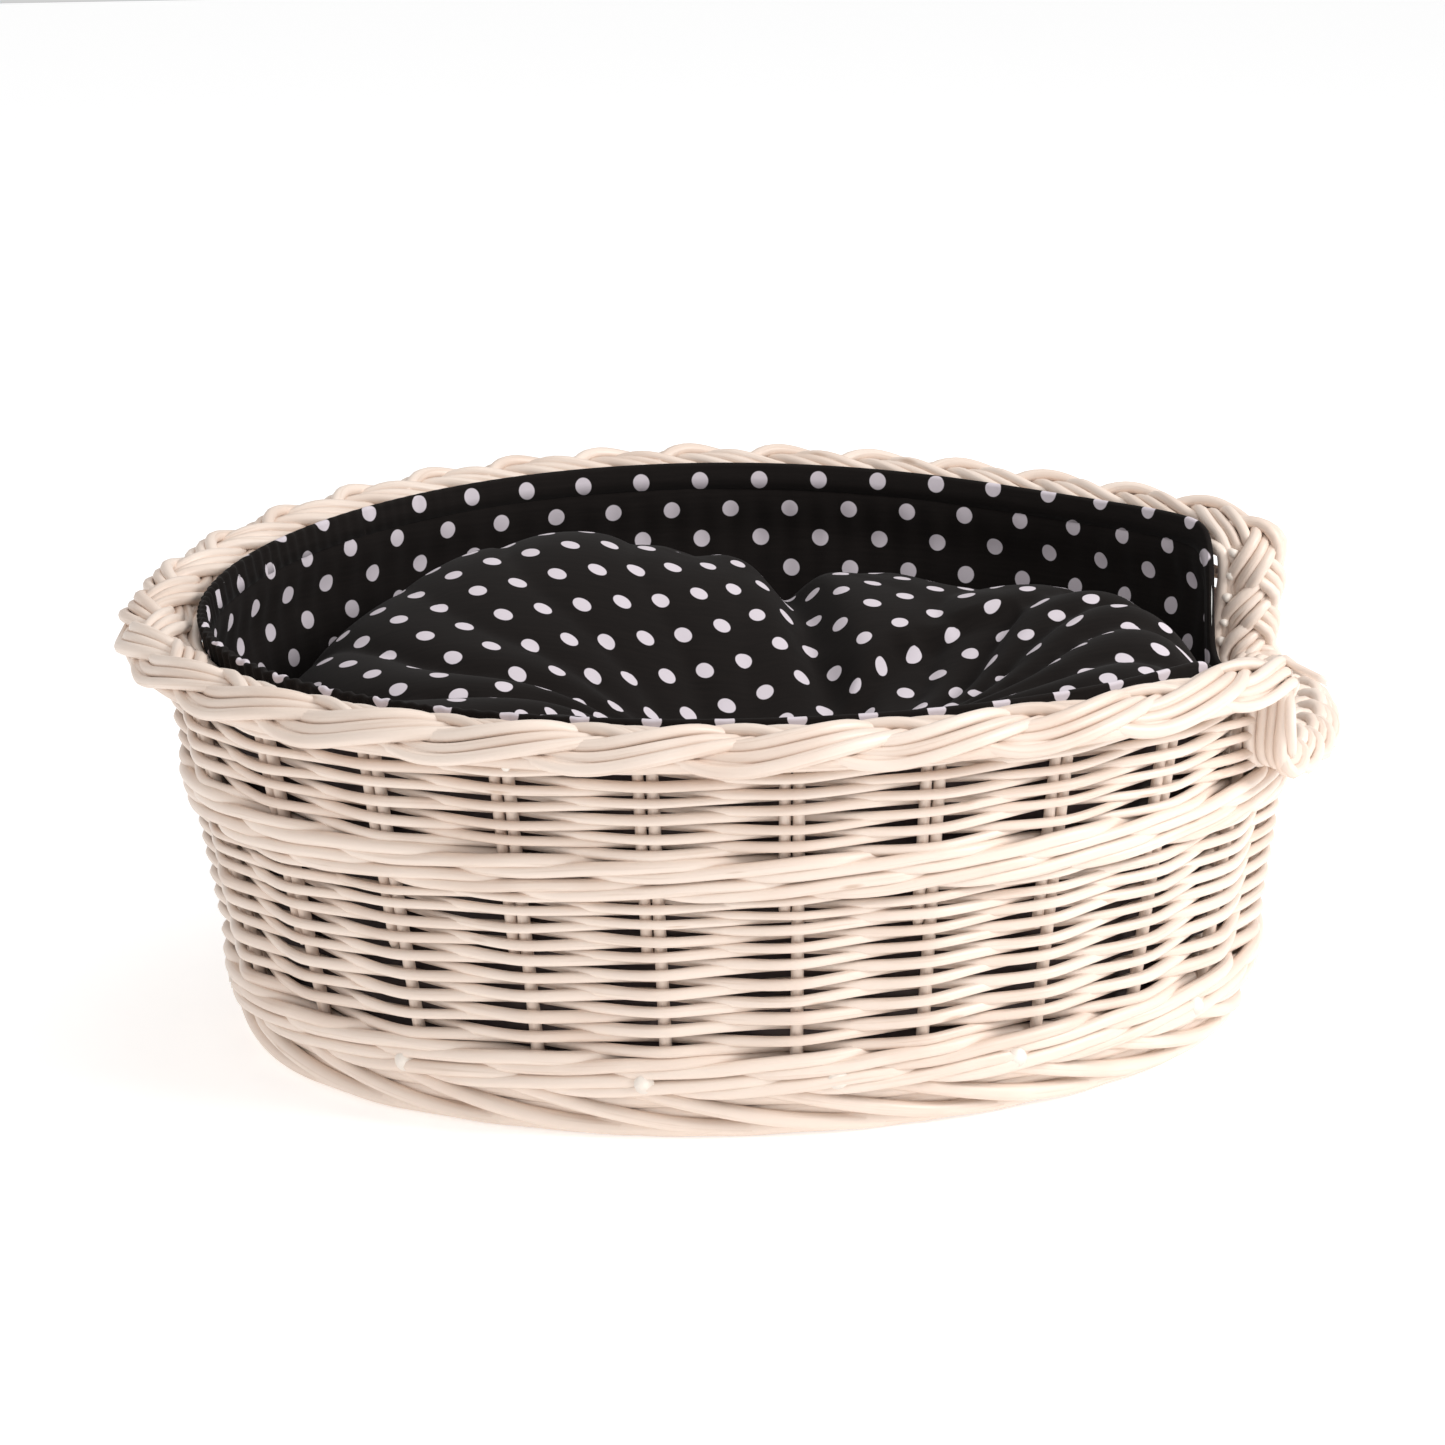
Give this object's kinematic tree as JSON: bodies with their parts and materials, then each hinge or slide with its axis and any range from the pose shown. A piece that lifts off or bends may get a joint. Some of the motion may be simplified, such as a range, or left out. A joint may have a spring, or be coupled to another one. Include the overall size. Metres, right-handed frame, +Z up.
{
  "type": "wicker pet bed basket",
  "caption": "Oval willow pet basket with a plaited rim, a low entrance at one end, a gathered cloth liner and a puffy lift-out cushion.",
  "frame": {"origin": "middle of the whole basket's box, on the floor", "axes": "+X along the basket towards the entrance end, +Y towards the high back, +Z up"},
  "size_m": [0.6293, 0.5252, 0.247],
  "materials": {
    "willow": "peeled white willow rods, smooth with a slight sheen",
    "willow_cut": "thick peeled willow sticks with plain cut ends",
    "liner_cloth": "plain-weave cotton, near black with pale round dots",
    "cushion_cloth": "plain-weave cotton, near black with pale round dots",
    "elastic": "covered elastic cord",
    "filling": "loose polyester wadding",
    "zip": "coil zip on woven tape"
  },
  "bodies": {
    "basket": {"foot_border": "willow", "base_sticks_long": "willow_cut", "base_sticks_cross": "willow_cut", "base_weave": "willow", "upsett_wale": "willow", "side_stakes": "willow", "by_stakes": "willow", "entrance_stakes": "willow", "lower_weave": "willow", "mid_wale": "willow", "upper_weave": "willow", "rim_border": "willow", "entrance_post_front": "willow", "entrance_post_back": "willow", "entrance_sill": "willow", "liner_floor": "liner_cloth", "liner_wall": "liner_cloth", "liner_hem": "liner_cloth", "hem_elastic": "elastic"},
    "cushion": {"cushion_base_panel": "cushion_cloth", "cushion_top_panel": "cushion_cloth", "cushion_filling": "filling", "cushion_zip": "zip"}
  },
  "joints": [
    {"name": "cushion_lift", "type": "slide", "parent": "basket", "child": "cushion", "axis": [0, 0, 1], "range_m": [0, 0.3]}
  ]
}
